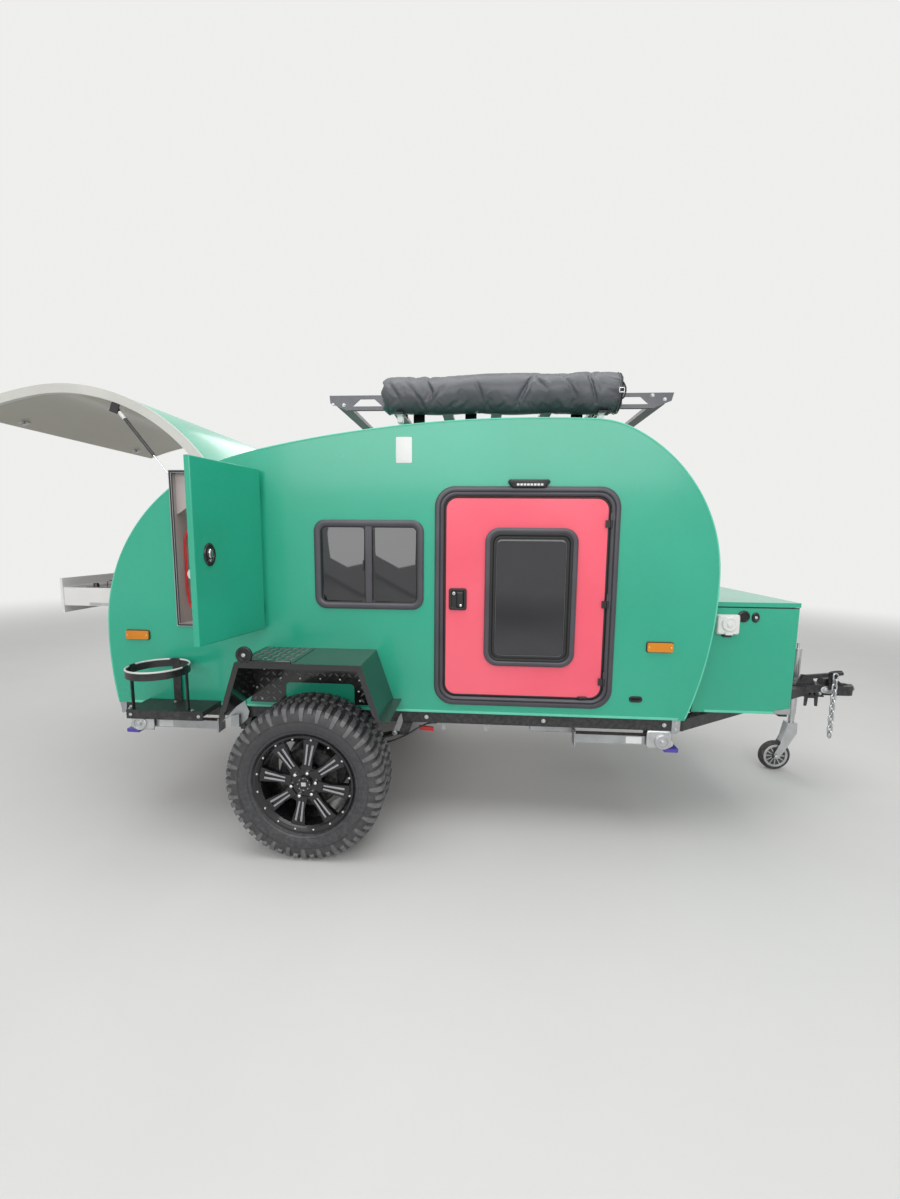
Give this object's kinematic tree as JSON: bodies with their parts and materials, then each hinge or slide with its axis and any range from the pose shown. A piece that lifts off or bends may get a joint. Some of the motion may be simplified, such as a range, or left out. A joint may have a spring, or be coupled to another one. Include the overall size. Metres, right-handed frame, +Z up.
{
  "type": "teardrop trailer",
  "caption": "Off-road teardrop trailer with a curved lift-up rear tailgate, side doors, roof rack, awning bag, toolbox and jockey wheel, resting as it parks.",
  "frame": {"origin": "centre of the tow pin's bore in the coupling head", "axes": "+X forward in the direction of towing, +Y to the left, +Z up; the wheels stand on z = -0.620"},
  "size_m": [5.0838, 2.3051, 2.345],
  "materials": {
    "body_paint": "gloss",
    "chassis_paint": "satin",
    "galvanised": "galvanised",
    "frame_aluminium": "satin",
    "door_panel": "gloss",
    "glass": "polished",
    "lid_lining": "satin",
    "board": "laminated",
    "liner": "matte",
    "tread_plate": "powder coated",
    "tyre": "rubber",
    "alloy": "painted, milled edges",
    "wheel_plastic": "matte",
    "awning_vinyl": "coated",
    "amber_lens": "clear",
    "red_lens": "clear",
    "cable_sheath": "matte",
    "hose_red": "satin",
    "coupling_paint": "painted"
  },
  "bodies": {
    "chassis": {"awning_bag": "awning_vinyl", "axle_beam": "galvanised", "brake_cables": "cable_sheath", "bulkhead": "board", "chassis_rails": "chassis_paint", "coupling": "coupling_paint", "crossmembers": "chassis_paint", "door_frames": "frame_aluminium", "drawbar_beams": "chassis_paint", "fenders": "tread_plate", "floor_panel": "board", "galley_cabinet": "board", "gas_bottle_ring": "chassis_paint", "hatch_frames": "frame_aluminium", "hatch_liners": "liner", "jockey_clamp": "galvanised", "leaf_springs": "chassis_paint", "marker_lamps": "amber_lens", "rack_slats": "tread_plate", "roof_panel": "body_paint", "roof_rack": "tread_plate", "safety_chain": "galvanised", "shock_absorbers": "chassis_paint", "shower_head": "lid_lining", "shower_hose": "hose_red", "side_wall_left": "body_paint", "side_wall_right": "body_paint", "side_windows": "glass", "spring_hangers": "galvanised", "stabiliser_brackets": "galvanised", "tail_lamps": "red_lens", "toolbox": "body_paint"},
    "wheel_right": {"tyre_right": "tyre", "rim_right": "alloy"},
    "wheel_left": {"tyre_left": "tyre", "rim_left": "alloy"},
    "door_right": {"door_right": "door_panel", "door_window_right": "glass"},
    "door_left": {"door_left": "door_panel", "door_window_left": "glass"},
    "hatch_right": {"hatch_right": "body_paint"},
    "hatch_left": {"hatch_left": "body_paint"},
    "tailgate": {"tailgate": "lid_lining"},
    "strut_tube_right": {"strut_tube_right": "coupling_paint"},
    "strut_tube_left": {"strut_tube_left": "coupling_paint"},
    "strut_rod_right": {"strut_rod_right": "galvanised"},
    "strut_rod_left": {"strut_rod_left": "galvanised"},
    "galley_drawer": {"galley_drawer": "lid_lining"},
    "toolbox_lid": {"toolbox_lid": "body_paint"},
    "stabiliser_rear_right": {"stabiliser_rear_right": "galvanised"},
    "stabiliser_rear_left": {"stabiliser_rear_left": "galvanised"},
    "stabiliser_front_right": {"stabiliser_front_right": "galvanised"},
    "stabiliser_front_left": {"stabiliser_front_left": "galvanised"},
    "jockey_tube": {"jockey_tube": "galvanised"},
    "jockey_fork": {"jockey_fork": "galvanised"},
    "jockey_wheel": {"jockey_wheel": "wheel_plastic"}
  },
  "joints": [
    {"name": "wheel_right_spin", "type": "hinge", "parent": "chassis", "child": "wheel_right", "pos_m": [-3.15, -0.9495, -0.2325], "axis": [0, 1, 0], "continuous": true},
    {"name": "wheel_left_spin", "type": "hinge", "parent": "chassis", "child": "wheel_left", "pos_m": [-3.15, 0.9495, -0.2325], "axis": [0, 1, 0], "continuous": true},
    {"name": "door_right_hinge", "type": "hinge", "parent": "chassis", "child": "door_right", "pos_m": [-1.701, -0.763, 0.635], "axis": [0, 0, 1], "range_deg": [0, 95]},
    {"name": "door_left_hinge", "type": "hinge", "parent": "chassis", "child": "door_left", "pos_m": [-1.701, 0.763, 0.635], "axis": [0, 0, -1], "range_deg": [0, 95]},
    {"name": "hatch_right_hinge", "type": "hinge", "parent": "chassis", "child": "hatch_right", "pos_m": [-3.462, -0.763, 0.863], "axis": [0, 0, 1], "range_deg": [-78.5, 11.5]},
    {"name": "hatch_left_hinge", "type": "hinge", "parent": "chassis", "child": "hatch_left", "pos_m": [-3.462, 0.763, 0.863], "axis": [0, 0, -1], "range_deg": [0, 90]},
    {"name": "tailgate_hinge", "type": "hinge", "parent": "chassis", "child": "tailgate", "pos_m": [-3.732, 0, 1.288], "axis": [0, 1, 0], "range_deg": [-78.5, 0]},
    {"name": "strut_right_pivot", "type": "hinge", "parent": "tailgate", "child": "strut_tube_right", "pos_m": [-4.221, -0.694, 1.58], "axis": [0, 1, 0], "range_deg": [-20.51, 0]},
    {"name": "strut_right_slide", "type": "slide", "parent": "strut_tube_right", "child": "strut_rod_right", "axis": [0.615, 0, -0.7885], "range_m": [-0.21106, 0]},
    {"name": "strut_left_pivot", "type": "hinge", "parent": "tailgate", "child": "strut_tube_left", "pos_m": [-4.221, 0.694, 1.58], "axis": [0, 1, 0], "range_deg": [-20.51, 0]},
    {"name": "strut_left_slide", "type": "slide", "parent": "strut_tube_left", "child": "strut_rod_left", "axis": [0.615, 0, -0.7885], "range_m": [-0.21106, 0]},
    {"name": "galley_drawer_slide", "type": "slide", "parent": "chassis", "child": "galley_drawer", "axis": [-1, 0, 0], "range_m": [-0.4942, 0]},
    {"name": "toolbox_lid_hinge", "type": "hinge", "parent": "chassis", "child": "toolbox_lid", "pos_m": [-1.127, 0, 0.605], "axis": [0, -1, 0], "range_deg": [0, 80]},
    {"name": "stabiliser_rear_right_pivot", "type": "hinge", "parent": "chassis", "child": "stabiliser_rear_right", "pos_m": [-4.17, -0.702, -0.092], "axis": [0, 1, 0], "range_deg": [0, 90]},
    {"name": "stabiliser_rear_left_pivot", "type": "hinge", "parent": "chassis", "child": "stabiliser_rear_left", "pos_m": [-4.17, 0.702, -0.092], "axis": [0, 1, 0], "range_deg": [0, 90]},
    {"name": "stabiliser_front_right_pivot", "type": "hinge", "parent": "chassis", "child": "stabiliser_front_right", "pos_m": [-1.398, -0.702, -0.092], "axis": [0, -1, 0], "range_deg": [0, 90]},
    {"name": "stabiliser_front_left_pivot", "type": "hinge", "parent": "chassis", "child": "stabiliser_front_left", "pos_m": [-1.398, 0.702, -0.092], "axis": [0, -1, 0], "range_deg": [0, 90]},
    {"name": "jockey_lift", "type": "slide", "parent": "chassis", "child": "jockey_tube", "axis": [0, 0, 1], "range_m": [0, 0.19]},
    {"name": "jockey_swivel", "type": "hinge", "parent": "jockey_tube", "child": "jockey_fork", "pos_m": [-0.21, 0.15, -0.37], "axis": [0, 0, 1], "continuous": true},
    {"name": "jockey_roll", "type": "hinge", "parent": "jockey_fork", "child": "jockey_wheel", "pos_m": [-0.3, 0.15, -0.52], "axis": [0, 1, 0], "continuous": true}
  ],
  "couplings": [
    {"joint": "strut_right_pivot", "follows": "tailgate_hinge", "ratio": 0.26112},
    {"joint": "strut_right_slide", "follows": "tailgate_hinge", "m_per_rad": 0.1539},
    {"joint": "strut_left_pivot", "follows": "tailgate_hinge", "ratio": 0.26112},
    {"joint": "strut_left_slide", "follows": "tailgate_hinge", "m_per_rad": 0.1539},
    {"joint": "galley_drawer_slide", "follows": "tailgate_hinge", "m_per_rad": 0.36056}
  ]
}
